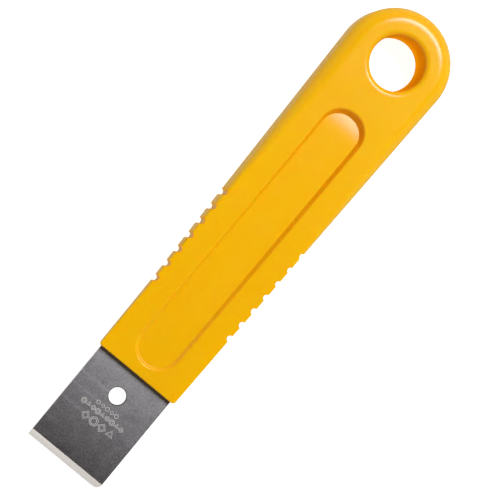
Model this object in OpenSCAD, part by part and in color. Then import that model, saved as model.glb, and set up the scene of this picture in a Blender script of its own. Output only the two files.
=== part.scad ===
// Hand scraper: a stainless blade clamped in a hollow moulded handle with a hang hole.
// The scraper lies on its flat back. +X runs from the cutting edge to the hang hole and
// +Z points out of the front face. The origin is the middle of the footprint, at the back.
// The blade slides out of the mouth along -X once the clamp screw in the back is loosened.

/* [Overall] */
// Length from the cutting edge to the far end of the ring
overall_len = 159.5; // [146:0.5:180]
// Length of blade that stands out of the mouth
blade_out = 31.6; // [28:0.1:34]

/* [Handle outline] */
// Radius of the rounded end that carries the hang hole
ring_r = 15.7; // [14.5:0.1:18]
// Radius of the hang hole
hang_r = 7.8; // [6.5:0.05:8.5]
// Length of the parallel stretch behind the mouth
straight_len = 18.5; // [15:0.5:24]
// Radius of the two corners of the mouth, seen from the front
mouth_corner_r = 1; // [0.5:0.1:2]
// Wall beside the blade in the mouth
cheek_wall = 0.85; // [0.7:0.05:2]

/* [Handle thickness] */
// Thickness of the handle at the ring
ring_t = 14; // [13:0.1:16]
// Thickness of the handle at the mouth
mouth_t = 6; // [6:0.1:7.5]
// Rounding of the front edge round the ring, which runs out towards the mouth
round_r = 4.5; // [2:0.1:5]
// Rounding of the front rim of the hang hole
hang_round_r = 1.2; // [0.5:0.1:2]

/* [Recess in the front] */
// Distance from the mouth to the near end of the recess
recess_start = 3.1; // [2:0.1:6]
// Length of the recess
recess_len = 91.25; // [70:0.25:94]
// Width of the recess
recess_w = 13.9; // [10:0.1:16]
// Depth of the recess at its mouth end
recess_near_d = 0.7; // [0.3:0.1:1]
// Depth of the recess at its ring end
recess_far_d = 2.6; // [1.5:0.1:3]
// Rise of the recess floor above a straight line between its ends
recess_crown = 1.1; // [0.8:0.1:1.4]

/* [Finger notches] */
// Number of notches along each side
notch_count = 7; // [3:1:8]
// Distance from the front of the hollow to the first notch
notch_start = 3.8; // [3.3:0.1:9]
// Distance from one notch to the next
notch_pitch = 5.03; // [4:0.01:5.6]
// Radius of each half-round notch
notch_r = 1; // [0.6:0.05:1.1]

/* [Shell] */
// Side wall of the hollow handle
side_wall = 1.9; // [1.8:0.1:2.4]
// Plastic between the recess floor and the hollow
roof_wall = 1.6; // [1.2:0.1:2]
// Wall of the tube round the hang hole
tube_wall = 1.6; // [1.2:0.1:2.2]
// Wall that stops the blade at the back of its pocket
stop_wall = 1.5; // [1.2:0.1:2.5]
// Thickness of the ribs in the hollow
rib_t = 1.2; // [0.8:0.1:1.8]
// Radius of the bosses that take the cover screws
boss_r = 2.6; // [2.2:0.1:3]

/* [Back cover] */
// Thickness of the back cover
cover_t = 2; // [2:0.1:2.4]
// Gap round the edge of the cover
cover_gap = 0.1; // [0.05:0.05:0.2]

/* [Blade] */
// Width of the blade
blade_w = 25; // [22:0.5:28]
// Length of the blade
blade_len = 50; // [48:0.5:51]
// Thickness of the blade
blade_t = 0.8; // [0.6:0.05:0.9]
// Width of the ground bevel at the cutting edge
bevel_w = 1.85; // [1:0.05:3]
// Thickness left at the cutting edge
edge_t = 0.06; // [0.04:0.01:0.1]
// Radius of the one rounded corner of the cutting edge
tip_corner_r = 1.7; // [1:0.1:3]
// Radius of the round hole in the blade
blade_hole_r = 2.5; // [1.5:0.1:3]
// Distance from the cutting edge to the centre of that hole
blade_hole_x = 23.6; // [20:0.1:25]
// Radius of the open notch at the back of the blade, round the clamp screw
blade_notch_r = 2.5; // [2:0.1:3]
// Gap above and below the blade in its pocket
slide_gap = 0.05; // [0.03:0.01:0.08]
// Gap on each side of the blade in its pocket
blade_side_gap = 0.05; // [0.03:0.01:0.1]
// Gap behind the blade
blade_end_gap = 0.3; // [0.2:0.05:0.5]

/* [Clamp] */
// Distance from the clamp screw to the back end of the blade
clamp_back = 6.4; // [5.4:0.1:7.4]
// Outside radius of the clamp screw's thread
thread_r = 1.45; // [1.2:0.05:1.6]
// Running gap between the screw and the threaded insert
thread_gap = 0.05; // [0.02:0.01:0.08]
// Gap between the screw and the holes it passes through
shank_gap = 0.2; // [0.15:0.05:0.35]
// Radius of the screw head
head_r = 2.75; // [2.4:0.05:3]
// Height of the screw head
head_h = 1.1; // [0.8:0.05:1.2]
// Radius of the washer
washer_r = 3.5; // [3.2:0.05:4]
// Thickness of the washer
washer_t = 0.5; // [0.3:0.05:0.6]
// Gap between the washer and the opening in the cover
washer_gap = 0.4; // [0.3:0.05:0.8]
// Thickness of the clamp plate under the blade
plate_t = 0.8; // [0.6:0.05:1]
// Distance from the mouth to the clamp plate
plate_set_back = 0.8; // [0.4:0.1:2]
// Radius of the corners of the clamp plate
plate_corner_r = 1; // [0.5:0.1:2]
// Outside radius of the threaded insert
insert_r = 2.1; // [2:0.05:2.6]
// Length of the threaded insert
insert_len = 2; // [1.5:0.1:2.1]

/* [Cover screws] */
// Distance from the front of the hollow to the front pair of cover screws
front_screw_back = 5.3; // [4.8:0.1:8]
// Distance between the front pair of cover screws
front_screw_span = 14; // [12:0.5:15]
// Distance from the mouth to the middle cover screw
middle_screw_x = 60; // [50:0.5:70]
// Distance from the centre of the hang hole back to the last cover screw
last_screw_back = 18; // [15:0.5:22]
// Outside radius of a cover screw's thread
cover_screw_r = 1.1; // [0.9:0.05:1.3]
// Radius of a cover screw's head
cover_head_r = 2; // [1.6:0.1:2.2]
// Height of a cover screw's head
cover_head_h = 0.9; // [0.6:0.05:1]
// Length of a cover screw under its head
cover_screw_len = 4.6; // [3.5:0.1:5]
// How far the cover screws' heads lie below the back
cover_head_sink = 0.3; // [0.2:0.05:0.4]

/* [Hidden] */
$fn = 64;
large_fn = 720;

// Overrun of every cut past the surface it opens
over = 1;
// Clearance of a fastener in a hole that holds it fast
held_gap = 0.02;
// Drop of the roundings' level below the crest of the front face, so that they cut it cleanly
rounding_drop = 0.1;
// Step by which each rounding stands off its walls, so that it meets them at a clear angle
rounding_step = 0.05;
// Gap between the ribs and the cover
rib_gap = 0.3;
// Width and depth of the cross in a screw head, and its depth as a share of the head's height
cross_w = 0.8;
cross_depth_share = 0.6;
// Length of each arm of the cross as a share of the head's radius
cross_arm_share = 0.62;
// Flank of the point of a cover screw as a share of its thread radius
point_share = 0.5;
// Places of the two cross ribs as shares of the hollow's length
rib_shares = [0.27, 0.66];

// Places along the scraper
tip_x = -overall_len / 2;
mouth_x = tip_x + blade_out;
ring_x = overall_len / 2 - ring_r;
taper_x = mouth_x + straight_len;
recess_x0 = mouth_x + recess_start;
recess_x1 = recess_x0 + recess_len;
blade_end_x = tip_x + blade_len;
clamp_x = blade_end_x - clamp_back;
pocket_end_x = blade_end_x + blade_end_gap;
hollow_x = pocket_end_x + stop_wall;
front_screw_x = hollow_x + front_screw_back;
last_screw_x = ring_x - last_screw_back;

// Widths
pocket_half = blade_w / 2 + blade_side_gap;
mouth_half = pocket_half + cheek_wall;
side_span = ring_x - taper_x;
side_angle = asin(ring_r / norm([side_span, mouth_half])) - atan2(mouth_half, side_span);

// Heights
plate_z = cover_t;
blade_z = plate_z + plate_t + slide_gap;
seat_z = blade_z + blade_t + slide_gap;
washer_z = plate_z - washer_t;
head_z = washer_z - head_h;

// The front face is an arc in side view, level over the ring
front_drop = ring_t - mouth_t;
front_span = ring_x - mouth_x;
front_r = (front_span * front_span + front_drop * front_drop) / (2 * front_drop);
function front_z(x) = ring_t - front_r + sqrt(front_r * front_r - (x - ring_x) * (x - ring_x));

// The recess floor is a flatter arc through the depths stated for its two ends
floor_near = [recess_x0, front_z(recess_x0) - recess_near_d];
floor_far = [recess_x1, front_z(recess_x1) - recess_far_d];
floor_chord = floor_far - floor_near;
floor_half = norm(floor_chord) / 2;
floor_r = (floor_half * floor_half + recess_crown * recess_crown) / (2 * recess_crown);
floor_up = [-floor_chord[1], floor_chord[0]] / norm(floor_chord);
floor_centre = (floor_near + floor_far) / 2 - floor_up * (floor_r - recess_crown);

// Places of the cover screws
cover_screw_at = [
    [front_screw_x, front_screw_span / 2],
    [front_screw_x, -front_screw_span / 2],
    [mouth_x + middle_screw_x, 0],
    [last_screw_x, 0]
];
cover_screw_z = cover_head_sink + cover_head_h;

handle_colour = [0.96, 0.71, 0.01];
steel_colour = [0.62, 0.62, 0.64];
blade_colour = [0.45, 0.44, 0.45];
brass_colour = [0.80, 0.64, 0.30];

// Round bar across the handle, used for every surface that is an arc in side view
module cross_bar(centre, r) {
    translate([centre[0], 0, centre[1]])
        rotate([90, 0, 0])
            cylinder(r = r, h = 2 * (ring_r + over), center = true, $fn = large_fn);
}

// Block with the handle's outline drawn in by a distance, from one height to another
module outline_block(inset, from_x, z0, z1) {
    half = mouth_half - inset;
    bend_x = max(from_x, taper_x + inset * tan(side_angle / 2));
    end_r = ring_r - inset;
    tangent = [ring_x - end_r * sin(side_angle), end_r * cos(side_angle)];
    bend_half = half + max(0, from_x - taper_x) * tan(side_angle);
    translate([0, 0, z0])
        linear_extrude(z1 - z0)
            polygon([
                [from_x, -bend_half], [bend_x, -bend_half], [tangent[0], -tangent[1]],
                [tangent[0], tangent[1]], [bend_x, bend_half], [from_x, bend_half]
            ]);
    translate([ring_x, 0, z0])
        cylinder(r = end_r, h = z1 - z0, $fn = large_fn / 4);
}

// Stadium-shaped block along X
module stadium_block(x0, x1, width, z0, z1) {
    for (x = [x0 + width / 2, x1 - width / 2])
        translate([x, 0, z0])
            cylinder(r = width / 2, h = z1 - z0);
    translate([x0 + width / 2, -width / 2, z0])
        cube([x1 - x0 - width, width, z1 - z0]);
}

// Corner between an upright and a level face, outside a quarter round
module corner_profile(r) {
    difference() {
        translate([-over, -r])
            square([r + over, r + over]);
        translate([r, -r])
            circle(r = r);
    }
}

// Cutter for one rounded upright corner of the mouth
module mouth_corner_cutter() {
    translate([mouth_x, mouth_half, -over])
        linear_extrude(ring_t + 2 * over)
            difference() {
                translate([-over, -mouth_corner_r])
                    square([mouth_corner_r + over, mouth_corner_r + over]);
                translate([mouth_corner_r, -mouth_corner_r])
                    circle(r = mouth_corner_r);
            }
}

// Rounding of the front edge: one torus round the ring and a straight run down each side
module front_edge_cutters() {
    rounding_z = ring_t - rounding_drop;
    translate([ring_x, 0, rounding_z])
        rotate([0, 0, -90 - side_angle])
            rotate_extrude(angle = 180 + 2 * side_angle, $fn = large_fn / 4)
                translate([ring_r + rounding_step, rounding_step])
                    mirror([1, 0])
                        corner_profile(round_r);
    for (side = [0, 1])
        mirror([0, side, 0])
            translate([ring_x - ring_r * sin(side_angle), ring_r * cos(side_angle), rounding_z])
                rotate([0, 0, 180 + side_angle])
                    translate([-over, -2 * rounding_step, 2 * rounding_step])
                        rotate([90, 0, 90])
                            linear_extrude(side_span + over)
                                corner_profile(round_r);
}

// Rounding of the front rim of the hang hole
module hang_rim_cutter() {
    translate([ring_x, 0, ring_t - rounding_drop])
        rotate_extrude()
            translate([hang_r - rounding_step, rounding_step])
                corner_profile(hang_round_r);
}

// Half-round notches down both sides
module notch_cutters() {
    for (i = [0 : notch_count - 1])
        for (side = [-1, 1]) {
            x = hollow_x + notch_start + i * notch_pitch;
            edge_y = mouth_half + max(0, x - taper_x) * tan(side_angle);
            translate([x, side * edge_y, -over])
                cylinder(r = notch_r, h = ring_t + 2 * over, $fn = 32);
        }
}

// Sunk panel in the front face
module recess_cutter() {
    difference() {
        stadium_block(recess_x0, recess_x1, recess_w, cover_t, ring_t + over);
        cross_bar(floor_centre, floor_r);
    }
}

// Boss round each cover screw
module bosses() {
    for (at = cover_screw_at)
        translate([at[0], at[1], 0])
            cylinder(r = boss_r, h = ring_t);
}

// Ribs that stiffen the hollow: one down the middle and two across
module ribs() {
    rib_z = cover_t + rib_gap;
    hollow_len = ring_x - hang_r - hollow_x;
    translate([hollow_x - over, -rib_t / 2, rib_z])
        cube([hollow_len + over, rib_t, ring_t]);
    for (share = rib_shares)
        translate([hollow_x + share * hollow_len - rib_t / 2, -ring_r, rib_z])
            cube([rib_t, 2 * ring_r, ring_t]);
}

// Hollow behind the blade pocket, open at the back, that runs on round the hang tube
module hollow_cutter() {
    difference() {
        intersection() {
            outline_block(side_wall, hollow_x, cover_t - over / 2, ring_t);
            cross_bar(floor_centre, floor_r - roof_wall);
        }
        translate([ring_x, 0, -over])
            cylinder(r = hang_r + tube_wall, h = ring_t + 2 * over);
        bosses();
        ribs();
    }
}

// Plan of the back cover as a block, drawn in by a gap; its front stretch has the blade's width
module cover_block(gap, front_over, z0, z1) {
    difference() {
        union() {
            translate([mouth_x - front_over, -(pocket_half - gap), z0])
                cube([pocket_end_x - gap - mouth_x + front_over, 2 * (pocket_half - gap), z1 - z0]);
            outline_block(side_wall + gap, pocket_end_x - 2 * gap, z0, z1);
        }
        translate([ring_x, 0, z0 - over])
            cylinder(r = hang_r + tube_wall + gap, h = z1 - z0 + 2 * over);
    }
}

// Cross recess in a screw head that faces down, cut from the head's lower face at z = 0
module cross_recess(r, h) {
    arm = r * cross_arm_share;
    for (turn = [0, 90])
        rotate([0, 0, turn])
            translate([-arm, -cross_w / 2, -over])
                cube([2 * arm, cross_w, over + h * cross_depth_share]);
}

// Moulded handle with the mouth, the sunk front panel, the notches and the hang hole
module handle_body() {
    color(handle_colour)
        difference() {
            intersection() {
                outline_block(0, mouth_x, 0, ring_t);
                cross_bar([ring_x, ring_t - front_r], front_r);
            }
            front_edge_cutters();
            for (side = [0, 1])
                mirror([0, side, 0])
                    mouth_corner_cutter();
            notch_cutters();
            recess_cutter();
            cover_block(0, over, -over, cover_t);
            translate([mouth_x - over, -pocket_half, cover_t - over / 2])
                cube([pocket_end_x - mouth_x + over, 2 * pocket_half, seat_z - cover_t + over / 2]);
            hollow_cutter();
            for (at = cover_screw_at)
                translate([at[0], at[1], 0])
                    cylinder(r = cover_screw_r + held_gap,
                             h = cover_screw_z + cover_screw_len + held_gap);
            translate([clamp_x, 0, seat_z - over])
                cylinder(r = insert_r + held_gap, h = over + insert_len + held_gap);
            translate([ring_x, 0, -over])
                cylinder(r = hang_r, h = ring_t + 2 * over);
            hang_rim_cutter();
        }
}

// Flat cover let into the back, with an opening for the clamp screw and sunk screw holes
module back_cover() {
    color(handle_colour)
        difference() {
            cover_block(cover_gap, 0, 0, cover_t);
            translate([clamp_x, 0, -over])
                cylinder(r = washer_r + washer_gap, h = cover_t + 2 * over);
            for (at = cover_screw_at)
                translate([at[0], at[1], -over]) {
                    cylinder(r = cover_head_r + shank_gap, h = over + cover_screw_z);
                    cylinder(r = cover_screw_r + shank_gap / 2, h = cover_t + 2 * over);
                }
        }
}

// Blade with a ground edge, one rounded corner, a round hole and an open notch at the back
module blade() {
    bevel_angle = atan2(blade_t - edge_t, bevel_w);
    color(blade_colour)
        difference() {
            translate([tip_x, -blade_w / 2, blade_z])
                cube([blade_len, blade_w, blade_t]);
            translate([tip_x, -blade_w, blade_z + edge_t])
                rotate([0, -bevel_angle, 0])
                    translate([-bevel_w, 0, 0])
                        cube([3 * bevel_w, 2 * blade_w, blade_t + bevel_w]);
            translate([tip_x, -blade_w / 2, blade_z - over])
                linear_extrude(blade_t + 2 * over)
                    difference() {
                        translate([-over, -over])
                            square([tip_corner_r + over, tip_corner_r + over]);
                        translate([tip_corner_r, tip_corner_r])
                            circle(r = tip_corner_r);
                    }
            translate([tip_x + blade_hole_x, 0, blade_z - over])
                cylinder(r = blade_hole_r, h = blade_t + 2 * over);
            translate([clamp_x, 0, blade_z - over])
                cylinder(r = blade_notch_r, h = blade_t + 2 * over);
            translate([clamp_x, -blade_notch_r, blade_z - over])
                cube([blade_end_x - clamp_x + over, 2 * blade_notch_r, blade_t + 2 * over]);
        }
}

// Steel plate that spreads the pull of the clamp screw under the blade
module clamp_plate() {
    x0 = mouth_x + plate_set_back;
    x1 = blade_end_x - plate_set_back;
    half = blade_w / 2 - blade_side_gap;
    color(steel_colour)
        difference() {
            union() {
                translate([x0 + plate_corner_r, -half, plate_z])
                    cube([x1 - x0 - 2 * plate_corner_r, 2 * half, plate_t]);
                translate([x0, -half + plate_corner_r, plate_z])
                    cube([x1 - x0, 2 * (half - plate_corner_r), plate_t]);
                for (x = [x0 + plate_corner_r, x1 - plate_corner_r])
                    for (y = [-half + plate_corner_r, half - plate_corner_r])
                        translate([x, y, plate_z])
                            cylinder(r = plate_corner_r, h = plate_t);
            }
            translate([clamp_x, 0, plate_z - over])
                cylinder(r = thread_r + shank_gap, h = plate_t + 2 * over);
        }
}

// Flat-headed machine screw, driven from the back into the threaded insert
module clamp_screw() {
    shank_len = seat_z + insert_len - washer_z - held_gap;
    color(steel_colour)
        translate([clamp_x, 0, head_z])
            difference() {
                union() {
                    cylinder(r = head_r, h = head_h);
                    cylinder(r = thread_r, h = head_h + shank_len);
                }
                cross_recess(head_r, head_h);
            }
}

// Washer between the screw head and the clamp plate
module clamp_washer() {
    color(steel_colour)
        translate([clamp_x, 0, washer_z])
            difference() {
                cylinder(r = washer_r, h = washer_t);
                translate([0, 0, -over])
                    cylinder(r = thread_r + thread_gap, h = washer_t + 2 * over);
            }
}

// Brass insert set into the handle above the blade
module threaded_insert() {
    color(brass_colour)
        translate([clamp_x, 0, seat_z])
            difference() {
                cylinder(r = insert_r, h = insert_len);
                translate([0, 0, -over])
                    cylinder(r = thread_r + thread_gap, h = insert_len + 2 * over);
            }
}

// Self-tapping screw that holds the cover to a boss
module cover_screw(at) {
    point_len = cover_screw_r;
    color(steel_colour)
        translate([at[0], at[1], cover_head_sink])
            difference() {
                union() {
                    cylinder(r = cover_head_r, h = cover_head_h);
                    cylinder(r = cover_screw_r, h = cover_head_h + cover_screw_len - point_len);
                    translate([0, 0, cover_head_h + cover_screw_len - point_len])
                        cylinder(r1 = cover_screw_r, r2 = cover_screw_r * point_share,
                                 h = point_len);
                }
                cross_recess(cover_head_r, cover_head_h);
            }
}

handle_body();
back_cover();
blade();
clamp_plate();
clamp_screw();
clamp_washer();
threaded_insert();
cover_screw(cover_screw_at[0]);  // cover_screw_1
cover_screw(cover_screw_at[1]);  // cover_screw_2
cover_screw(cover_screw_at[2]);  // cover_screw_3
cover_screw(cover_screw_at[3]);  // cover_screw_4
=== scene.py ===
import math

import bmesh
import bpy
import numpy as np
from mathutils import Matrix, Vector
from mathutils.geometry import delaunay_2d_cdt


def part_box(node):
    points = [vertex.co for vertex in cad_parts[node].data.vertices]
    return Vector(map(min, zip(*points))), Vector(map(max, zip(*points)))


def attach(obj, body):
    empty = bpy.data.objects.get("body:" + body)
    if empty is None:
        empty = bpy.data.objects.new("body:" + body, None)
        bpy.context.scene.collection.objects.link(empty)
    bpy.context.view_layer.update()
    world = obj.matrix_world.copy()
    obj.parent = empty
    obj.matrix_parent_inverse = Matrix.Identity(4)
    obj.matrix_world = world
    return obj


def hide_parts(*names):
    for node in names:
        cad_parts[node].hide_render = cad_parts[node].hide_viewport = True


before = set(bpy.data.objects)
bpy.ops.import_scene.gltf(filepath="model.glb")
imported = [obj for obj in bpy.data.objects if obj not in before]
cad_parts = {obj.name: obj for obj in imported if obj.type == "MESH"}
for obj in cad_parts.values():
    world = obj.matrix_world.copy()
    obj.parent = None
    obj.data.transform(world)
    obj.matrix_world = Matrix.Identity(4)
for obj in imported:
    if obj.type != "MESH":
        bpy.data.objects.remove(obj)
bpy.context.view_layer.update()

# Sizes of the pieces are in millimetres, and MM turns them into the scene's metres.
# The floor's size, the lamp and the camera's clip distances are in metres.
MM = 0.001


def node_box(node):
    """Lowest and highest corner of a CAD node, in millimetres."""
    low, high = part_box(node)
    return low / MM, high / MM


# Places and sizes taken from the frame
body_low, body_high = node_box("handle_body")
blade_low, blade_high = node_box("blade")
_, cover_high = node_box("back_cover")
insert_low, insert_high = node_box("threaded_insert")
mouth_x = body_low.x
ring_r = body_high.y
ring_x = body_high.x - ring_r
ring_t = body_high.z
cover_t = cover_high.z
cover_screws = [node_box(f"cover_screw_{i}") for i in range(1, 5)]

# Handle outline
mouth_half = 13.4
mouth_corner_r = 1.0
straight_len = 18.5
hang_r = 7.8
taper_x = mouth_x + straight_len
side_span = ring_x - taper_x
side_angle = math.asin(ring_r / math.hypot(side_span, mouth_half)) - math.atan2(mouth_half, side_span)

# Front face
mouth_t = 6.0
front_drop = ring_t - mouth_t
front_span = ring_x - mouth_x
front_r = (front_span ** 2 + front_drop ** 2) / (2 * front_drop)
round_r = 4.5
edge_r = 0.35
rim_r = 1.5
blend_r = 0.25
# The small broken edge fades over this length and ends this far past the taper's start
edge_fade_len = 40.0
edge_fade_end = 60.0

# Sunk panel in the front face
recess_back = 3.1
recess_len = 91.25
recess_x0 = mouth_x + recess_back
recess_x1 = recess_x0 + recess_len
recess_half = 6.95
recess_near_d = 0.8
recess_far_d = 1.9
recess_crown = 1.1
recess_wall = 1.3
recess_near_wall = 0.8
recess_far_wall = 2.5
scoop_len = 9.0
scoop_d = 0.8
pillow_h = 0.12
# The wall's rounded top and foot, as shares of its width
wall_top = 0.32
wall_foot = 0.16

# Finger notches
notch_count = 7
notch_pitch = 5.03
notch_r = 1.0
first_notch_back = 24.0
first_notch_x = mouth_x + first_notch_back

# Shell and the places it leaves for the other pieces
side_wall = 1.9
tube_wall = 1.6
pocket_half = 12.55
seat_z = insert_low.z
blade_end_gap = 0.3
pocket_end_x = blade_high.x + blade_end_gap
held_gap = 0.02
screw_hole_r = 1.12
cut_over = 1.0
foot_r = 0.25
# Draft of the sides up to the taper's start, and from this length past it on
mouth_draft = 0.3
ring_draft = 0.1
draft_fade_len = 35.0

# Meshes: gaps in millimetres, steps round arcs, and the angle in degrees up to which faces are joined
weld_gap = 0.001
cad_weld_gap = 0.0005
outline_gap = 0.7
corner_steps = 8
notch_steps = 18
bore_steps = 110
place_steps = 72
flat_angle = 0.6

# Blade
blade_hole_r = 2.5
blade_hole_back = 23.6
blade_hole_x = blade_low.x + blade_hole_back
hole_rim = 0.2
bevel_w = 1.83
ground_side_w = 0.1

# Etched marks on the blade
mark_line = 0.12
mark_lift = 0.006

# Floor: its size in metres, how far it lies under the scraper in millimetres, and its light
floor_size = 8.0
floor_drop = 0.05
floor_grey = 0.3
floor_lift = 0.94
mirrored_share = 0.25

# Studio walls: light at heights from the horizon up, and its strength beyond the blade and the ring
wall_light = ((0.0, 0.85), (0.02, 0.5), (0.4, 0.46), (0.65, 0.12), (1.0, 0.02))
blade_side_light = 1.8
ring_side_light = 0.5


# Height of the front face
def arch_height(x):
    """Level of the arched front face, without its roundings."""
    return ring_t - front_r + np.sqrt(front_r ** 2 - (x - ring_x) ** 2)


def edge_distance(x, y):
    """Distance inward from the sides and the ring, as if there were no notches."""
    side = np.abs(y)
    sin_a, cos_a = math.sin(side_angle), math.cos(side_angle)
    straight = mouth_half - side
    tapered = (x - taper_x) * sin_a - (side - mouth_half) * cos_a
    ring = ring_r - np.hypot(x - ring_x, y)
    past_tangent = (x - ring_x) * cos_a + side * sin_a > 0
    return np.where(past_tangent, ring, np.where(x < taper_x, straight, tapered))


def rounded_drop(distance, radius):
    """How far a quarter-round of that radius lies below its level."""
    reach = np.clip(radius - distance, 0, radius)
    return radius - np.sqrt(np.maximum(radius ** 2 - reach ** 2, 0))


def soft_min(a, b, blend):
    """Smaller of two heights, with a soft change between them."""
    share = np.clip(0.5 + 0.5 * (b - a) / blend, 0, 1)
    return b + (a - b) * share - blend * share * (1 - share)


def recess_distance(x, y):
    """Distance inward from the outline of the sunk panel."""
    along = np.clip(x, recess_x0 + recess_half, recess_x1 - recess_half)
    return recess_half - np.hypot(x - along, y)


def wall_width(x, y):
    """Plan width of the sloping wall round the sunk panel, which is wider at the ring end."""
    far = np.clip((x - (recess_x1 - recess_half)) / recess_half, 0, 1)
    near = np.clip(((recess_x0 + recess_half) - x) / recess_half, 0, 1)
    width = recess_wall + (recess_far_wall - recess_wall) * far ** 2
    return width + (recess_near_wall - recess_wall) * near ** 2


def wall_share(inward):
    """How far down the panel's wall a point is: a straight slope with a rounded top and foot."""
    t = np.clip(inward, 0, 1)
    slope = 1 / (1 - (wall_top + wall_foot) / 2)
    top = slope * t ** 2 / (2 * wall_top)
    foot = 1 - slope * (1 - t) ** 2 / (2 * wall_foot)
    return np.where(t < wall_top, top, np.where(t > 1 - wall_foot, foot, slope * (t - wall_top / 2)))


def floor_height(x, y):
    """Level of the panel's floor: a flat arc, a scoop at the ring end and a low crown across."""
    near = np.array([recess_x0, float(arch_height(recess_x0)) - recess_near_d])
    far = np.array([recess_x1, float(arch_height(recess_x1)) - recess_far_d])
    chord = far - near
    half = np.linalg.norm(chord) / 2
    radius = (half ** 2 + recess_crown ** 2) / (2 * recess_crown)
    up = np.array([-chord[1], chord[0]]) / np.linalg.norm(chord)
    centre = (near + far) / 2 - up * (radius - recess_crown)
    level = centre[1] + np.sqrt(radius ** 2 - (x - centre[0]) ** 2)
    scoop = np.clip((x - (recess_x1 - scoop_len)) / scoop_len, 0, 1) ** 2
    across = np.clip(1 - (y / recess_half) ** 2, 0, 1)
    return level - scoop_d * scoop + pillow_h * across


def front_height(x, y):
    """Level of the finished front face."""
    edge = edge_distance(x, y)
    level = arch_height(x)
    level = soft_min(level, ring_t - rounded_drop(edge, round_r), blend_r)
    edge_share = np.clip((taper_x + edge_fade_end - x) / edge_fade_len, 0, 1)
    level = level - rounded_drop(np.minimum(edge, x - mouth_x), edge_r) * edge_share
    level = level - rounded_drop(np.hypot(x - ring_x, y) - hang_r, rim_r)
    share = wall_share(recess_distance(x, y) / wall_width(x, y))
    return level + (floor_height(x, y) - level) * share


def front_slopes(x, y):
    """Slopes of the finished front face, along the handle and across it."""
    step = 0.01
    along = (front_height(x + step, y) - front_height(x - step, y)) / (2 * step)
    across = (front_height(x, y + step) - front_height(x, y - step)) / (2 * step)
    return along, across


# Outlines, as lists of points
def spaced(start, end, gap):
    """Points from start up to, not including, end."""
    start, end = np.array(start, float), np.array(end, float)
    steps = max(1, math.ceil(np.linalg.norm(end - start) / gap))
    return [tuple(start + (end - start) * i / steps) for i in range(steps)]


def arc(centre, radius, first, last, steps):
    """Points round an arc between two angles in degrees, with both ends."""
    angles = np.radians(np.linspace(first, last, steps + 1))
    return [(centre[0] + radius * math.cos(a), centre[1] + radius * math.sin(a)) for a in angles]


def mirrored(points):
    """The same points on the other side of the handle, in the opposite order."""
    return [(x, -y) for x, y in reversed(points)]


def side_edge(x, inset=0.0):
    """Distance from the middle to the handle's side at x, drawn in by inset."""
    rise = np.maximum(x - taper_x, 0) * math.tan(side_angle)
    return mouth_half + rise - inset / math.cos(side_angle)


def notch_distance(x, y):
    """Distance from the middle of the nearest finger notch."""
    nearest = np.full(np.shape(x), np.inf)
    for i in range(notch_count):
        centre = first_notch_x + i * notch_pitch
        nearest = np.minimum(nearest, np.hypot(x - centre, np.abs(y) - side_edge(centre)))
    return nearest


def side_points(with_notches, inset=0.0, gap=outline_gap):
    """Upper side of the outline, from the mouth to the ring's tangent point."""
    tilt = math.degrees(side_angle)
    end_r = ring_r - inset
    tangent = (ring_x - end_r * math.sin(side_angle), end_r * math.cos(side_angle))
    here = (mouth_x, side_edge(mouth_x, inset))
    points = []
    if with_notches:
        centre = (mouth_x + mouth_corner_r, mouth_half - mouth_corner_r)
        points += arc(centre, mouth_corner_r, 180, 90, corner_steps)
        here = points.pop()
        for i in range(notch_count):
            x = first_notch_x + i * notch_pitch
            cut = arc((x, side_edge(x)), notch_r, 180 + tilt, 360 + tilt, notch_steps)
            points += spaced(here, cut[0], gap) + cut[:-1]
            here = cut[-1]
    bend = (taper_x, side_edge(taper_x, inset))
    if here[0] < bend[0]:
        points += spaced(here, bend, gap)
        here = bend
    return points + spaced(here, tangent, gap)


def outline():
    """Closed outline of the handle, clockwise from the mouth's upper corner."""
    upper = side_points(True)
    tilt = 90 + math.degrees(side_angle)
    end = arc((ring_x, 0), ring_r, tilt, -tilt, math.ceil(math.pi * ring_r / outline_gap))
    lower = mirrored(upper)
    front = spaced(lower[-1], upper[0], outline_gap)
    return upper + end + lower[:-1] + front


def stadium(gap):
    """Closed outline of the sunk panel."""
    steps = math.ceil(math.pi * recess_half / gap)
    near = arc((recess_x0 + recess_half, 0), recess_half, 90, 270, steps)
    far = arc((recess_x1 - recess_half, 0), recess_half, -90, 90, steps)
    return near[:-1] + spaced(near[-1], far[0], gap) + far[:-1] + spaced(far[-1], near[0], gap)


def inside(points, loop):
    """Which points lie inside a closed loop."""
    x, y = points[:, 0], points[:, 1]
    loop = np.array(loop)
    following = np.roll(loop, -1, axis=0)
    hit = np.zeros(len(points), bool)
    for (x0, y0), (x1, y1) in zip(loop, following):
        if y0 == y1:
            continue
        crosses = (y0 > y) != (y1 > y)
        hit ^= crosses & (x < (x1 - x0) * (y - y0) / (y1 - y0) + x0)
    return hit


def thinned(fixed, extra, gap):
    """The extra points that keep a gap from the fixed ones and from each other."""
    taken = {}

    def cell(p):
        return int(math.floor(p[0] / gap)), int(math.floor(p[1] / gap))

    def free(p):
        cx, cy = cell(p)
        for i in (-1, 0, 1):
            for j in (-1, 0, 1):
                for q in taken.get((cx + i, cy + j), ()):
                    if (p[0] - q[0]) ** 2 + (p[1] - q[1]) ** 2 < gap ** 2:
                        return False
        return True

    for p in fixed:
        taken.setdefault(cell(p), []).append(p)
    kept = []
    for p in extra:
        if free(p):
            taken.setdefault(cell(p), []).append(p)
            kept.append(p)
    return kept


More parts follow.
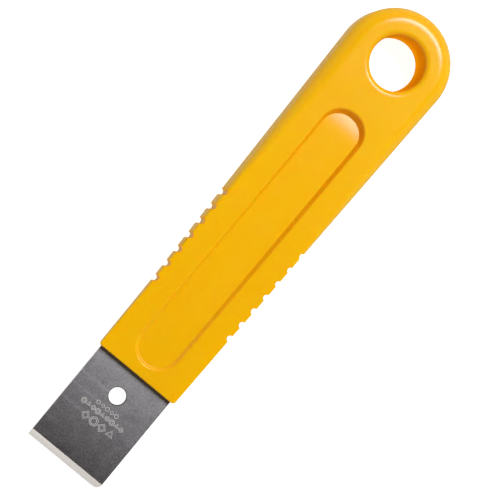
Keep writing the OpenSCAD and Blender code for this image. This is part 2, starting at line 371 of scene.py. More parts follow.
def triangulated(loops, extra):
    """Triangles between closed loops, the first outside and the rest round holes."""
    points = []
    edges = []
    for loop in loops:
        first = len(points)
        count = len(loop)
        points += [tuple(p) for p in loop]
        edges += [(first + i, first + (i + 1) % count) for i in range(count)]
    points += [tuple(p) for p in extra]
    verts, _, faces, origins, _, _ = delaunay_2d_cdt([Vector(p) for p in points], edges, [], 0, 1e-7)
    flat = np.array([(v.x, v.y) for v in verts])
    middles = np.array([flat[list(f)].mean(axis=0) for f in faces])
    wanted = inside(middles, loops[0])
    for loop in loops[1:]:
        wanted &= ~inside(middles, loop)
    order = {}
    for new, old in enumerate(origins):
        for index in old:
            order[index] = new
    tris = [tuple(f) for f, keep in zip(faces, wanted) if keep]
    return flat, tris, order


class Shell:
    """Vertices and faces of one closed mesh, in millimetres."""

    def __init__(self):
        self.verts = []
        self.faces = []

    def add(self, points):
        first = len(self.verts)
        self.verts += [tuple(map(float, p)) for p in points]
        return list(range(first, len(self.verts)))

    def bridge(self, a, b):
        """Quads between two closed rings of the same length."""
        count = len(a)
        for i in range(count):
            j = (i + 1) % count
            self.faces.append((a[i], a[j], b[j], b[i]))

    def piece(self, name):
        """A Blender object of this shell, with its faces turned outward."""
        mesh = bpy.data.meshes.new(name)
        mesh.from_pydata([Vector(v) * MM for v in self.verts], [], self.faces)
        tidy = bmesh.new()
        tidy.from_mesh(mesh)
        bmesh.ops.remove_doubles(tidy, verts=tidy.verts, dist=weld_gap * MM)
        bmesh.ops.recalc_face_normals(tidy, faces=tidy.faces)
        tidy.to_mesh(mesh)
        tidy.free()
        made = bpy.data.objects.new(name, mesh)
        bpy.context.scene.collection.objects.link(made)
        return made


def inset_ring(points, amount):
    """A closed clockwise ring of points moved inward along the mean of its edges' normals."""
    ring = np.array(points)
    before = ring - np.roll(ring, 1, axis=0)
    after = np.roll(ring, -1, axis=0) - ring
    before /= np.linalg.norm(before, axis=1)[:, None]
    after /= np.linalg.norm(after, axis=1)[:, None]
    along = before + after
    along /= np.linalg.norm(along, axis=1)[:, None]
    return ring + np.stack([along[:, 1], -along[:, 0]], axis=1) * amount


def drafted(ring, share):
    """A ring drawn in at the sides by a share of the mould's draft, which is largest at the mouth."""
    x, y = ring[:, 0], ring[:, 1]
    amount = np.interp(x, (taper_x, taper_x + draft_fade_len), (mouth_draft, ring_draft))
    return np.column_stack([x, y * (1 - share * amount / mouth_half)])


def prism(name, loops, z0, z1):
    """Closed block with the plan of the loops, the first outside and the rest round holes."""
    shell = Shell()
    flat, tris, order = triangulated(loops, [])
    low = shell.add([(x, y, z0) for x, y in flat])
    high = shell.add([(x, y, z1) for x, y in flat])
    for f in tris:
        shell.faces.append(tuple(low[i] for i in reversed(f)))
        shell.faces.append(tuple(high[i] for i in f))
    first = 0
    for loop in loops:
        ring = [order[first + i] for i in range(len(loop))]
        shell.bridge([low[i] for i in ring], [high[i] for i in ring])
        first += len(loop)
    return shell.piece(name)


def circle(x, y, radius, steps):
    """Closed circle of points."""
    return arc((x, y), radius, 0, 360, steps)[:-1]


def subtract(piece, cutters):
    """Cut each cutter out of a piece and remove the cutters."""
    for cutter in cutters:
        cut = piece.modifiers.new("cut", "BOOLEAN")
        cut.operation = "DIFFERENCE"
        cut.solver = "EXACT"
        cut.object = cutter
        bpy.context.view_layer.objects.active = piece
        bpy.ops.object.modifier_apply(modifier=cut.name)
        bpy.data.objects.remove(cutter)


def shaded(piece, angle):
    """Smooth shading with edges over that angle kept sharp."""
    mesh = piece.data
    mesh.shade_smooth()
    mesh.set_sharp_from_angle(angle=math.radians(angle))


def flattened(piece):
    """Give the wide faces of a piece their own direction, so that only narrow ones look round."""
    weight = piece.modifiers.new("normals", "WEIGHTED_NORMAL")
    weight.keep_sharp = True
    weight.weight = 100
    bpy.context.view_layer.objects.active = piece
    bpy.ops.object.modifier_apply(modifier=weight.name)


# Handle

# Rows of points on the front: inward from the sides and the mouth, out from the bore, and down
# the panel's wall as shares of its width
side_insets = (0.06, 0.16, 0.35, 0.65, 1.1, 1.6, 2.1, 2.6, 3.1, 3.6, 4.1, 4.6, 5.1)
mouth_insets = (0.06, 0.16, 0.35, 0.7)
bore_reaches = (0.05, 0.16, 0.3, 0.5, 0.75, 1.05, 1.4, 1.8, 2.3)
wall_shares = (-0.6, -0.3, -0.1, 0, 0.1, 0.2, 0.3, 0.4, 0.55, 0.7,
               0.8, 0.85, 0.9, 0.95, 1, 1.1, 1.3, 1.7)
row_gap = 0.6
fill_gap = 0.9
ring_steps = 90

# Levels on the side and bore walls as shares of the way down, and turns of the rounded foot in degrees
wall_levels = (0.35, 0.7)
foot_turns = (0, 22.5, 45, 67.5, 90)


def row_points():
    """Points in rows along the front's roundings and the panel's walls."""
    rows = []
    for inset in side_insets:
        rows += side_points(False, inset, row_gap)
        rows += arc((ring_x, 0), ring_r - inset, 90, -90, ring_steps)
        rows += mirrored(side_points(False, inset, row_gap))
    for inset in mouth_insets:
        edge = mouth_half - mouth_corner_r
        rows += spaced((mouth_x + inset, -edge), (mouth_x + inset, edge), row_gap)
    for reach in bore_reaches:
        rows += circle(ring_x, 0, hang_r + reach, bore_steps)
    for share in wall_shares:
        for x, y in stadium(row_gap):
            along = min(max(x, recess_x0 + recess_half), recess_x1 - recess_half)
            width = float(wall_width(np.array(x), np.array(y)))
            scale = (recess_half - share * width) / recess_half
            rows.append((along + (x - along) * scale, y * scale))
    return rows


def fill_points():
    """Staggered grid of points over the handle's box."""
    fill = []
    for i in range(int((body_high.x - body_low.x) / fill_gap) + 1):
        for j in range(int(2 * ring_r / fill_gap) + 2):
            shift = 0.5 * fill_gap if i % 2 else 0.0
            fill.append((mouth_x + i * fill_gap, -ring_r + j * fill_gap + shift))
    return fill


def front_points(outer, bore):
    """Points inside the front face that keep clear of its borders and of each other."""
    border_gap, notch_gap, row_apart, fill_apart = 0.03, 0.04, 0.045, 0.55
    rows, fill = row_points(), fill_points()
    near = np.array(rows + fill)
    keep = inside(near, outer) & (np.hypot(near[:, 0] - ring_x, near[:, 1]) > hang_r + border_gap)
    keep &= notch_distance(near[:, 0], near[:, 1]) > notch_r + notch_gap
    row_count = len(rows)
    rows = [tuple(p) for p, k in zip(near[:row_count], keep[:row_count]) if k]
    fill = [tuple(p) for p, k in zip(near[row_count:], keep[row_count:]) if k]
    rows = thinned(outer + bore, rows, row_apart)
    fill = thinned(outer + bore + rows, fill, fill_apart)
    return rows + fill


def add_walls(shell, flat, heights, top, rims):
    """Side and bore walls from the front's rims to the rounded foot; returns the foot's outlines."""
    feet = []
    for rim, inward in zip(rims, (1, -1)):
        ring = flat[rim]
        above = [top[i] for i in rim]
        crown = heights[rim]
        outside = inward > 0
        for share in wall_levels:
            level = crown + (foot_r - crown) * share
            below = shell.add(np.column_stack([drafted(ring, share * outside), level]))
            shell.bridge(above, below)
            above = below
        for turn in foot_turns:
            bend = math.radians(turn)
            moved = inset_ring(drafted(ring, outside), inward * foot_r * (1 - math.cos(bend)))
            level = foot_r * (1 - math.sin(bend))
            below = shell.add([(x, y, level) for x, y in moved])
            shell.bridge(above, below)
            above = below
        feet.append(moved)
    return feet


def cover_outline():
    """Outline of the cover's place: as wide as the pocket up to its end, then inside the side walls."""
    step_gap = 0.2
    front = [(mouth_x - cut_over, pocket_half), (pocket_end_x, pocket_half)]
    step = (pocket_end_x, side_edge(pocket_end_x, side_wall))
    sides = [p for p in side_points(False, side_wall) if p[0] > pocket_end_x + step_gap]
    tilt = 90 + math.degrees(side_angle)
    end = arc((ring_x, 0), ring_r - side_wall, tilt, -tilt, place_steps)
    upper = front + [step] + sides
    return upper + end + mirrored(upper)


def handle_cutters():
    """Blocks for the places of the cover, the blade, the insert and the cover screws."""
    insert_steps, screw_steps = 48, 32
    tube = circle(ring_x, 0, hang_r + tube_wall, place_steps)
    cutters = [prism("cover_place", [cover_outline(), tube], -cut_over, cover_t)]
    pocket = [(mouth_x - cut_over, -pocket_half), (pocket_end_x, -pocket_half),
              (pocket_end_x, pocket_half), (mouth_x - cut_over, pocket_half)]
    cutters.append(prism("pocket_place", [pocket], cover_t - cut_over, seat_z))
    middle = (insert_low + insert_high) / 2
    hole_r = (insert_high.y - insert_low.y) / 2 + held_gap
    cutters.append(prism("insert_place", [circle(middle.x, middle.y, hole_r, insert_steps)],
                         seat_z - cut_over, insert_high.z + held_gap))
    for low, high in cover_screws:
        middle = (low + high) / 2
        cutters.append(prism("screw_place", [circle(middle.x, middle.y, screw_hole_r, screw_steps)],
                             cover_t - cut_over, high.z + held_gap))
    return cutters


def make_handle():
    """Moulded handle: arched front, notched sides, bore and the places at the back."""
    outer = outline()
    bore = circle(ring_x, 0, hang_r, bore_steps)
    flat, tris, order = triangulated([outer, bore], front_points(outer, bore))
    shell = Shell()
    heights = front_height(flat[:, 0], flat[:, 1])
    top = shell.add(np.column_stack([flat, heights]))
    shell.faces += [tuple(top[i] for i in f) for f in tris]
    rims = [[order[i] for i in range(len(outer))],
            [order[len(outer) + i] for i in range(len(bore))]]
    feet = add_walls(shell, flat, heights, top, rims)
    back, back_tris, _ = triangulated([f.tolist() for f in feet], [])
    base = shell.add([(x, y, 0.0) for x, y in back])
    shell.faces += [tuple(base[i] for i in reversed(f)) for f in back_tris]
    handle = shell.piece("handle_shell")
    subtract(handle, handle_cutters())
    mark_surface(handle)
    shaded(handle, angle=32)
    sharpen_foot(handle)
    smooth_front(handle)
    return handle


def vertex_places(mesh):
    """Places of a mesh's points, in millimetres, as rows of x, y and z."""
    flat = np.empty(len(mesh.vertices) * 3)
    mesh.vertices.foreach_get("co", flat)
    return flat.reshape(-1, 3).T / MM


def painted_highlight_share(x, y, z):
    """Places of painted highlights: where the front leans towards the ring end, and so towards the
    lamp, and less where it is steep.
    """
    slight, slight_span = 0.02, 0.05
    steep, steep_span, steep_loss = 0.12, 0.15, 0.6
    turned, turned_span = 0.5, 0.3
    off_front = 0.01
    along, across = front_slopes(x, y)
    facing = np.clip((-along / np.maximum(np.hypot(along, across), 1e-6) - turned) / turned_span, 0, 1)
    loss = steep_loss * np.clip((-along - steep) / steep_span, 0, 1)
    share = np.clip((-along - slight) / slight_span, 0, 1) * (1 - loss)
    return share * facing * (np.abs(z - front_height(x, y)) < off_front)


def wall_shade(x, y, z):
    """Deeper hue of the panel's walls, most at the ring end and on the side turned from the lamp."""
    top_span, foot_span = 0.2, 0.1
    end_hue, side_hue = 0.75, 0.3
    inward = np.clip(recess_distance(x, y) / wall_width(x, y), 0, 1)
    wall = np.clip(inward / top_span, 0, 1) * np.clip((1 - inward) / foot_span, 0, 1) * (z > seat_z)
    far = np.clip((x - recess_x0) / (recess_x1 - recess_x0), 0, 1)
    turned = np.clip(-y / recess_half, 0, 1)
    return wall * (end_hue * far ** 3 + side_hue * turned)


def mark_surface(handle):
    """Store for the material each point's painted shade and painted highlight hue, and its gloss with
    painted highlights added.
    """
    bore_span, edge_span, notch_gap = 0.5, 2, 0.02
    hole_shade_hue, highlight_hue = 0.6, 0.5
    edge_sheen, side_sheen, flat_sheen, highlight_sheen = 0.1, 0.2, 0.3, 0.45
    mesh = handle.data
    x, y, z = vertex_places(mesh)
    from_hole = np.hypot(x - ring_x, y)
    # Painted shade: a deeper hue in the bore, in the notches and on the bore's rim on the side turned
    # from the lamp
    bore = np.clip((hang_r + bore_span - from_hole) / bore_span, 0, 1)
    lamp_shaded_side = np.clip((x - ring_x) / from_hole, 0, 1)
    rim = np.clip((hang_r + rim_r - from_hole) / rim_r, 0, 1) * lamp_shaded_side
    notch = (notch_distance(x, y) < notch_r + notch_gap) * 1.0
    painted_highlight = painted_highlight_share(x, y, z)
    # Painted shade hue, raised on the panel's walls and, as part of the painted highlights, where the
    # front faces the lamp
    hollow = np.maximum(np.maximum(bore, rim), notch) * hole_shade_hue
    hollow = np.maximum(hollow, wall_shade(x, y, z))
    hollow = np.maximum(hollow, highlight_hue * painted_highlight)
    side = np.clip(edge_distance(x, y) / edge_span, 0, 1)
    open_face = 1 - np.maximum(bore, notch)
    # Gloss: less on the sides, none in the bore and the notches, and painted highlights added where the
    # front leans towards the lamp
    sheen_and_painted_highlight = np.minimum(edge_sheen + side_sheen * side, flat_sheen * open_face)
    sheen_and_painted_highlight = sheen_and_painted_highlight + highlight_sheen * painted_highlight * open_face
    for name, values in (("hollow", hollow), ("sheen_and_painted_highlight", sheen_and_painted_highlight)):
        layer = mesh.attributes.new(name, "FLOAT", "POINT")
        layer.data.foreach_set("value", np.clip(values, 0, 1))


def smooth_front(handle):
    """Give the front face the directions of its formula, free of the triangles' small errors."""
    border_gap, notch_gap, off_front = 0.04, 0.03, 0.002
    mesh = handle.data
    x, y, z = vertex_places(mesh)
    along, across = front_slopes(x, y)
    away = np.stack([-along, -across, np.ones(len(x))], axis=1)
    away /= np.linalg.norm(away, axis=1)[:, None]
    clear = np.minimum(edge_distance(x, y), x - mouth_x) > border_gap
    clear &= np.hypot(x - ring_x, y) > hang_r + border_gap
    clear &= notch_distance(x, y) > notch_r + notch_gap
    clear &= np.abs(z - front_height(x, y)) < off_front
    away[~clear] = 0
    owners = np.empty(len(mesh.loops), int)
    mesh.loops.foreach_get("vertex_index", owners)
    mesh.normals_split_custom_set(away[owners].tolist())


def sharpen_foot(handle):
    """Keep the flat back's border sharp, so that its wide faces stay flat."""
    tidy = bmesh.new()
    tidy.from_mesh(handle.data)
    for edge in tidy.edges:
        level = [face.normal.z < -0.999 for face in edge.link_faces]
        if any(level) and not all(level):
            edge.smooth = False
    tidy.to_mesh(handle.data)
    tidy.free()


# Pieces that keep the CAD's shape and gain small edge breaks
def broken_edges(node, name, width, segments=2, angle=35, before=None):
    """Copy of a CAD node with its edges slightly rounded, after an optional first step on its mesh."""
    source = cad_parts[node]
    mesh = source.data.copy()
    mesh.name = name
    made = bpy.data.objects.new(name, mesh)
    bpy.context.scene.collection.objects.link(made)
    tidy = bmesh.new()
    tidy.from_mesh(mesh)
    bmesh.ops.remove_doubles(tidy, verts=tidy.verts, dist=cad_weld_gap * MM)
    bmesh.ops.dissolve_limit(tidy, angle_limit=math.radians(flat_angle),
                             verts=tidy.verts, edges=tidy.edges)
    if before:
        before(tidy)
    tidy.to_mesh(mesh)
    tidy.free()
    mesh.shade_flat()
    bevel = made.modifiers.new("edges", "BEVEL")
    bevel.width = width * MM
    bevel.segments = segments
    bevel.limit_method = "ANGLE"
    bevel.angle_limit = math.radians(angle)
    bevel.use_clamp_overlap = True
    bpy.context.view_layer.objects.active = made
    bpy.ops.object.modifier_apply(modifier=bevel.name)
    shaded(made, angle)
    flattened(made)
    return made


def dull_hole_rim(tidy):
    """Small chamfer round the top of the blade's punched hole."""
    level_gap, round_gap = 0.01, 0.05
    rim = []
    for edge in tidy.edges:
        ends = [v.co / MM for v in edge.verts]
        level = all(abs(p.z - blade_high.z) < level_gap for p in ends)
        from_rim = [math.hypot(p.x - blade_hole_x, p.y) - blade_hole_r for p in ends]
        if level and all(abs(gap) < round_gap for gap in from_rim):
            rim.append(edge)
    bmesh.ops.bevel(tidy, geom=rim, offset=hole_rim * MM, segments=2, profile=0.5, affect="EDGES")


# Generic marks etched in the blade: rows of plain outlined shapes
def ribbon(shell, loop, z):
    """Flat line of the mark's width along a closed loop."""
    line = np.array(loop)
    middle = line.mean(axis=0)
    away = line - middle
    size = np.linalg.norm(away, axis=1)
    outer = middle + away * ((size + mark_line / 2) / size)[:, None]
    inner = middle + away * ((size - mark_line / 2) / size)[:, None]
    rings = []
    for ring, level in ((outer, z - mark_lift), (outer, z), (inner, z), (inner, z - mark_lift)):
        rings.append(shell.add([(x, y, level) for x, y in ring]))
    for i in range(4):
        shell.bridge(rings[i], rings[(i + 1) % 4])


def make_marks():
    """Three rows of outlined triangles, diamonds and discs, where the real blade carries words.

    Each row has its distance from the tip, its middle, its count and pitch, the radii of each
    shape's outlines and the shapes' numbers of sides.
    """
    shell = Shell()
    z = blade_high.z + mark_lift
    tip = blade_low.x
    rows = ((14.0, -0.8, 4, 2.9, (1.3, 0.85), (3, 4, 20, 4)),
            (16.9, -0.15, 9, 1.66, (0.78, 0.4), (4, 3, 20)),
            (19.0, -0.2, 5, 1.6, (0.55,), (20, 4)))
    for from_tip, middle, count, pitch, sizes, shapes in rows:
        for i in range(count):
            y = middle + (i - (count - 1) / 2) * pitch
            for size in sizes:
                ribbon(shell, circle(tip + from_tip, y, size, shapes[i % len(shapes)]), z)
    marks = shell.piece("blade_marks")
    shaded(marks, 40)
    return marks


# Materials
def maths(tree, operation, a, b):
    """Output of a maths node on two values, each a number or another node's output."""
    node = tree.nodes.new("ShaderNodeMath")
    node.operation = operation
    for socket, value in zip(node.inputs, (a, b)):
        if isinstance(value, (int, float)):
            socket.default_value = value
        else:
            tree.links.new(value, socket)
    return node.outputs["Value"]


def map_range(tree, value, low, high, start, end):
    """Value from start to end while the input runs from low to high."""
    node = tree.nodes.new("ShaderNodeMapRange")
    node.inputs["From Min"].default_value = low
    node.inputs["From Max"].default_value = high
    node.inputs["To Min"].default_value = start
    node.inputs["To Max"].default_value = end
    tree.links.new(value, node.inputs["Value"])
    return node.outputs["Result"]


def colour_ramp(tree, factor, stops):
    """Colour ramp of (place, linear colour) stops."""
    node = tree.nodes.new("ShaderNodeValToRGB")
    ramp = node.color_ramp
    while len(ramp.elements) < len(stops):
        ramp.elements.new(0.5)
    for element, (place, colour) in zip(ramp.elements, stops):
        element.position = place
        element.color = (*colour, 1)
    tree.links.new(factor, node.inputs["Fac"])
    return node.outputs["Color"]


class Nodes:
    """Short names for building one material's nodes."""

    def __init__(self, name):
        self.material = bpy.data.materials.new(name)
        self.material.use_nodes = True
        self.tree = self.material.node_tree
        self.shader = self.tree.nodes["Principled BSDF"]
        self.place = self.tree.nodes.new("ShaderNodeTexCoord").outputs["Object"]

    def set(self, **values):
        for name, value in values.items():
            self.shader.inputs[name.replace("_", " ")].default_value = value

    def link(self, source, target):
        self.tree.links.new(source, target)

    def noise(self, scale, detail, stretch=(1, 1, 1), roughness=0.5):
        """Noise whose scale is in features per millimetre."""
        mapping = self.tree.nodes.new("ShaderNodeMapping")
        mapping.inputs["Scale"].default_value = tuple(s * scale / MM for s in stretch)
        self.link(self.place, mapping.inputs["Vector"])
        noise = self.tree.nodes.new("ShaderNodeTexNoise")
        noise.inputs["Scale"].default_value = 1.0
        noise.inputs["Detail"].default_value = detail
        noise.inputs["Roughness"].default_value = roughness
        self.link(mapping.outputs["Vector"], noise.inputs["Vector"])
        return noise.outputs["Fac"]

    def ramp(self, value, low, high, start, end):
        return map_range(self.tree, value, low, high, start, end)

    def maths(self, operation, a, b):
        return maths(self.tree, operation, a, b)

    def colours(self, factor, *stops):
        return colour_ramp(self.tree, factor, stops)

    def mix(self, factor, a, b):
        node = self.tree.nodes.new("ShaderNodeMix")
        node.data_type = "RGBA"
        self.link(factor, node.inputs["Factor"])
        self.link(a, node.inputs["A"])
        self.link(b, node.inputs["B"])
        return node.outputs["Result"]

    def bump(self, height, depth, strength):
        """Bump whose depth is in millimetres."""
        node = self.tree.nodes.new("ShaderNodeBump")
        node.inputs["Distance"].default_value = depth * MM
        node.inputs["Strength"].default_value = strength
        self.link(height, node.inputs["Height"])
        self.link(node.outputs["Normal"], self.shader.inputs["Normal"])

    def stored(self, name):
        """Number stored on the mesh's points."""
        node = self.tree.nodes.new("ShaderNodeAttribute")
        node.attribute_name = name
        return node.outputs["Fac"]

    def along(self, axis):
        """Position along an axis, in millimetres."""
        split = self.tree.nodes.new("ShaderNodeSeparateXYZ")
        self.link(self.place, split.inputs["Vector"])
        return self.maths("MULTIPLY", split.outputs[axis], 1 / MM)


def plastic(name, colour, darker, painted_shade_colour=None, painted_shade_darker=None):
    """Moulded plastic: satin with a fine texture and faint flow streaks.

    With painted shade colours it also mixes in its painted shade and highlight hue, and takes its gloss
    with painted highlights, from what mark_surface stored.
    """
    m = Nodes(name)
    flow = m.noise(0.045, 3.0, (0.35, 1, 1))
    grain = m.noise(5.0, 2.0)
    smudge = m.noise(0.12, 4.0)
    surface = m.colours(flow, (0.3, darker), (0.62, colour))
    rough = m.maths("ADD", m.ramp(smudge, 0.3, 0.7, 0.24, 0.29), m.ramp(grain, 0.3, 0.7, -0.02, 0.02))
    if painted_shade_colour:
        # Painted shade and painted highlight hue, mixed in by the values mark_surface stored
        shade = m.colours(flow, (0.3, painted_shade_darker), (0.62, painted_shade_colour))
        sheen_and_painted_highlight = m.stored("sheen_and_painted_highlight")
        surface = m.mix(m.stored("hollow"), surface, shade)
        rough = m.maths("ADD", rough, m.ramp(sheen_and_painted_highlight, 0.3, 0.75, 0.0, 0.06))
        m.link(sheen_and_painted_highlight, m.shader.inputs["Specular IOR Level"])
    m.link(surface, m.shader.inputs["Base Color"])
    m.link(rough, m.shader.inputs["Roughness"])
    m.bump(grain, 0.006, 0.35)
    m.set(IOR=1.5, Subsurface_Weight=0.35, Subsurface_Radius=(1.0, 0.25, 0.02))
    m.set(Subsurface_Scale=2.0 * MM)
    return m.material


def blasted_steel():
    """Blade: dark blasted stainless with speckle and rubbed streaks, and a painted reflection that
    pales it towards the handle.
    """
    m = Nodes("blade_blasted")
    rubbed = m.ramp(m.noise(0.8, 3.0, (1, 0.05, 1)), 0.58, 0.72, 0.0, 0.12)
    speckle = m.maths("ADD", m.noise(4.2, 2.0, roughness=0.7), rubbed)
    cloud = m.noise(0.25, 3.0)
    # Painted reflection: the colour runs from dark at the tip to light at the mouth
    pale = m.ramp(m.along("X"), blade_low.x, mouth_x, 0.0, 1.0)
    dark = m.colours(speckle, (0.36, (0.062, 0.055, 0.057)), (0.66, (0.132, 0.121, 0.123)))
    light = m.colours(speckle, (0.36, (0.235, 0.229, 0.239)), (0.66, (0.385, 0.375, 0.39)))
    m.link(m.mix(pale, dark, light), m.shader.inputs["Base Color"])
    rough = m.maths("ADD", m.ramp(speckle, 0.3, 0.7, 0.37, 0.45), m.ramp(cloud, 0.3, 0.7, -0.03, 0.03))
    m.link(rough, m.shader.inputs["Roughness"])
    m.bump(speckle, 0.012, 0.4)
    m.set(Metallic=0.95)
    return m.material


def ground_steel():
    """Bevel: bright steel with grinding lines square to the edge."""
    m = Nodes("blade_ground")
    lines = m.noise(3.5, 2.0, (0.04, 1, 1))
    m.link(m.colours(lines, (0.3, (0.70, 0.65, 0.61)), (0.7, (0.79, 0.75, 0.71))),
           m.shader.inputs["Base Color"])
    m.link(m.ramp(lines, 0.3, 0.7, 0.38, 0.5), m.shader.inputs["Roughness"])
    m.bump(lines, 0.006, 0.3)
    m.set(Metallic=0.1)
    return m.material


def painted_hole_shade():
    """Wall and chamfer of the punched hole: painted shade, a dark noisy colour."""
    m = Nodes("blade_hole_painted_shade")
    hole_noise = m.noise(5.0, 2.0, (1, 1, 0.2))
    m.link(m.colours(hole_noise, (0.3, (0.02, 0.018, 0.016)), (0.7, (0.07, 0.065, 0.06))),
           m.shader.inputs["Base Color"])
    m.link(m.ramp(hole_noise, 0.3, 0.7, 0.6, 0.75), m.shader.inputs["Roughness"])
    m.bump(hole_noise, 0.01, 0.5)
    m.set(Metallic=0.5)
    return m.material


def etched_steel():
    """Etched marks: pale matt lines."""
    m = Nodes("blade_etching")
    grain = m.noise(6.0, 2.0)
    m.link(m.colours(grain, (0.35, (0.56, 0.54, 0.52)), (0.65, (0.72, 0.69, 0.67))),
           m.shader.inputs["Base Color"])
    m.link(m.ramp(grain, 0.3, 0.7, 0.5, 0.65), m.shader.inputs["Roughness"])
    m.set(Metallic=0.0)
    return m.material


def bright_metal(name, low, high, roughness, turned=(1, 1, 1)):
    """Plated or turned metal with fine machining lines and dull patches."""
    m = Nodes(name)
    lines = m.noise(6.0, 2.0, turned)
    patch = m.noise(0.4, 3.0)
    m.link(m.colours(patch, (0.35, low), (0.65, high)), m.shader.inputs["Base Color"])
    rough = m.maths("ADD", m.ramp(patch, 0.3, 0.7, roughness, roughness + 0.1),
                    m.ramp(lines, 0.3, 0.7, -0.03, 0.03))
    m.link(rough, m.shader.inputs["Roughness"])
    m.bump(lines, 0.004, 0.3)
    m.set(Metallic=1.0)
    return m.material


def only_material(piece, material):
    """Give a whole piece one material."""
    slots = piece.data.materials
    if len(slots) == 0:
        slots.append(material)
    for i in range(len(slots)):
        slots[i] = material


# The handle's last two colours are its painted shade hue
yellow = plastic("handle_yellow", (0.91, 0.487, 0.0006), (0.885, 0.457, 0.0006),
                 (0.96, 0.35, 0.0004), (0.94, 0.32, 0.0004))
cover_yellow = plastic("cover_yellow", (0.90, 0.48, 0.0006), (0.87, 0.45, 0.0006))
blade_material = blasted_steel()
bevel_material = ground_steel()
hole_shade_material = painted_hole_shade()
mark_material = etched_steel()
zinc = bright_metal("zinc_plated", (0.52, 0.53, 0.55), (0.66, 0.66, 0.67), 0.24)
sheet_steel = bright_metal("sheet_steel", (0.42, 0.42, 0.43), (0.55, 0.55, 0.56), 0.32, (0.05, 1, 1))
brass = bright_metal("turned_brass", (0.62, 0.42, 0.16), (0.78, 0.56, 0.24), 0.25, (1, 1, 4))


def add_handle():
    handle = make_handle()
    only_material(handle, yellow)
    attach(handle, "handle")
    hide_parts("handle_body")


def add_cover():
    cover = broken_edges("back_cover", "cover_plate", 0.25, 3)
    only_material(cover, cover_yellow)
    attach(cover, "handle")
    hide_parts("back_cover")


def add_blade():
    """Blade with its ground edges in a material of their own, and painted shade on its punched hole's
    wall and chamfer.
    """
    facing_down = -0.5
    blade = broken_edges("blade", "scraper_blade", 0.07, 2, 60, dull_hole_rim)
    only_material(blade, blade_material)
    blade.data.materials.append(bevel_material)
    blade.data.materials.append(hole_shade_material)
    for face in blade.data.polygons:
        middle = face.center / MM
        if middle.x < blade_low.x + bevel_w and face.normal.z > facing_down:
            face.material_index = 1
        elif abs(middle.y) > blade_high.y - ground_side_w:
            face.material_index = 1
        # Painted shade: the punched hole's wall and chamfer get the dark material
        elif math.hypot(middle.x - blade_hole_x, middle.y) < blade_hole_r + hole_rim:
            face.material_index = 2
    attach(blade, "blade")
    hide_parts("blade")


def add_marks():
    marks = make_marks()
    only_material(marks, mark_material)
    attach(marks, "blade")


def add_metal(node, name, body, width, material, slot):
    """Clamp piece, screw or insert with its edges broken by the given width."""
    piece = broken_edges(node, name, width)
    only_material(piece, material)
    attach(piece, body)
    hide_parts(node)


add_handle()
add_cover()
add_blade()
add_marks()
for row in (
        ("clamp_plate", "clamp_sheet", "handle", 0.08, sheet_steel, "plate_steel"),
        ("clamp_screw", "clamp_machine_screw", "clamp_screw", 0.07, zinc, "fastener_steel"),
        ("clamp_washer", "clamp_flat_washer", "clamp_washer", 0.05, zinc, "fastener_steel"),
        ("cover_screw_1", "cover_tapping_screw_1", "handle", 0.06, zinc, "fastener_steel"),
        ("cover_screw_2", "cover_tapping_screw_2", "handle", 0.06, zinc, "fastener_steel"),
        ("cover_screw_3", "cover_tapping_screw_3", "handle", 0.06, zinc, "fastener_steel"),
        ("cover_screw_4", "cover_tapping_screw_4", "handle", 0.06, zinc, "fastener_steel"),
        ("threaded_insert", "brass_insert", "handle", 0.05, brass, "insert_brass")):
    add_metal(*row)


# Floor, light and camera
def floor_material():
    """White to the camera, darker to mirrors, and clear from below and to diffuse and shadow rays."""
    material = bpy.data.materials.new("floor_white")
    material.use_nodes = True
    tree = material.node_tree
    tree.nodes.clear()
    path = tree.nodes.new("ShaderNodeLightPath").outputs
    mirrored_floor = maths(tree, "MULTIPLY", path["Is Glossy Ray"], mirrored_share)
    seen = maths(tree, "MAXIMUM", path["Is Camera Ray"], mirrored_floor)
    seen = maths(tree, "MAXIMUM", seen, path["Is Transmission Ray"])
    glow = tree.nodes.new("ShaderNodeEmission")
    tree.links.new(maths(tree, "MULTIPLY", seen, floor_lift), glow.inputs["Strength"])
    base = tree.nodes.new("ShaderNodeBsdfDiffuse")
    base.inputs["Color"].default_value = (floor_grey, floor_grey, floor_grey, 1)
    both = tree.nodes.new("ShaderNodeAddShader")
    tree.links.new(base.outputs[0], both.inputs[0])
    tree.links.new(glow.outputs[0], both.inputs[1])
    under = tree.nodes.new("ShaderNodeNewGeometry").outputs["Backfacing"]
    scattered = maths(tree, "MAXIMUM", path["Is Diffuse Ray"], path["Is Shadow Ray"])
    clear = tree.nodes.new("ShaderNodeBsdfTransparent")
    sides = tree.nodes.new("ShaderNodeMixShader")
    tree.links.new(maths(tree, "MAXIMUM", under, scattered), sides.inputs["Fac"])
    tree.links.new(both.outputs[0], sides.inputs[1])
    tree.links.new(clear.outputs[0], sides.inputs[2])
    out = tree.nodes.new("ShaderNodeOutputMaterial")
    tree.links.new(sides.outputs[0], out.inputs["Surface"])
    return material


def make_floor():
    """Pale floor just under the scraper, which takes its shadow."""
    bpy.ops.mesh.primitive_plane_add(size=floor_size, location=(0, 0, -floor_drop * MM))
    floor = bpy.context.object
    floor.name = "floor"
    floor.data.materials.append(floor_material())


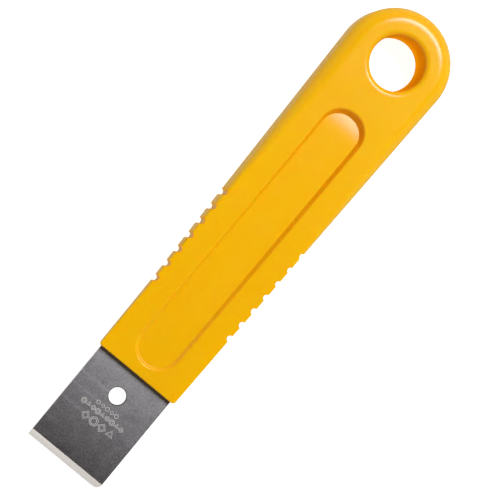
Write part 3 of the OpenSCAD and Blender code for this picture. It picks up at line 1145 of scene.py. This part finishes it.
def make_world():
    """Studio walls: bright below the horizon, pale above, dark overhead; strongest past the blade."""
    world = bpy.data.worlds.new("studio")
    bpy.context.scene.world = world
    world.use_nodes = True
    tree = world.node_tree
    back = tree.nodes["Background"]
    place = tree.nodes.new("ShaderNodeTexCoord")
    split = tree.nodes.new("ShaderNodeSeparateXYZ")
    tree.links.new(place.outputs["Generated"], split.inputs["Vector"])
    greys = [(height, (light, light, light)) for height, light in wall_light]
    tree.links.new(colour_ramp(tree, split.outputs["Z"], greys), back.inputs["Color"])
    strength = map_range(tree, split.outputs["X"], -1.0, 1.0, blade_side_light, ring_side_light)
    tree.links.new(strength, back.inputs["Strength"])


def make_lamp(name, bearing, elevation, distance, width, height, power):
    """Oblong area lamp, level along its width, that points at the origin."""
    data = bpy.data.lights.new(name, "AREA")
    data.shape = "RECTANGLE"
    data.size = width
    data.size_y = height
    data.energy = power
    lamp = bpy.data.objects.new(name, data)
    a, e = math.radians(bearing), math.radians(elevation)
    towards = Vector((math.cos(a) * math.cos(e), math.sin(a) * math.cos(e), math.sin(e)))
    lamp.location = towards * distance
    lamp.rotation_euler = (-lamp.location).to_track_quat("-Z", "Y").to_euler()
    bpy.context.scene.collection.objects.link(lamp)


def make_camera():
    """Camera at the photograph's viewing angle: almost square to the front face, rolled."""
    eye = Vector((-59.45, 107.50, 898.26)) * MM
    target = Vector((-1.06, -3.01, 0)) * MM
    roll = -0.8786
    focal_px = 3237.7
    frame_px = 500
    sensor_mm = 36.0
    forward = (target - eye).normalized()
    right = Vector((math.cos(roll), math.sin(roll), 0))
    right = (right - forward * right.dot(forward)).normalized()
    up = right.cross(forward)
    data = bpy.data.cameras.new("camera")
    data.sensor_width = sensor_mm
    data.lens = sensor_mm * focal_px / frame_px
    data.clip_start = 0.05
    data.clip_end = 20.0
    camera = bpy.data.objects.new("camera", data)
    turn = Matrix((right, up, -forward)).transposed().to_4x4()
    camera.matrix_world = Matrix.Translation(eye) @ turn
    bpy.context.scene.collection.objects.link(camera)
    bpy.context.scene.camera = camera


make_floor()
make_world()
make_lamp("key", bearing=-12, elevation=58, distance=4.0, width=2.2, height=1.6, power=168.0)
make_camera()
bpy.context.scene.view_settings.view_transform = "Standard"
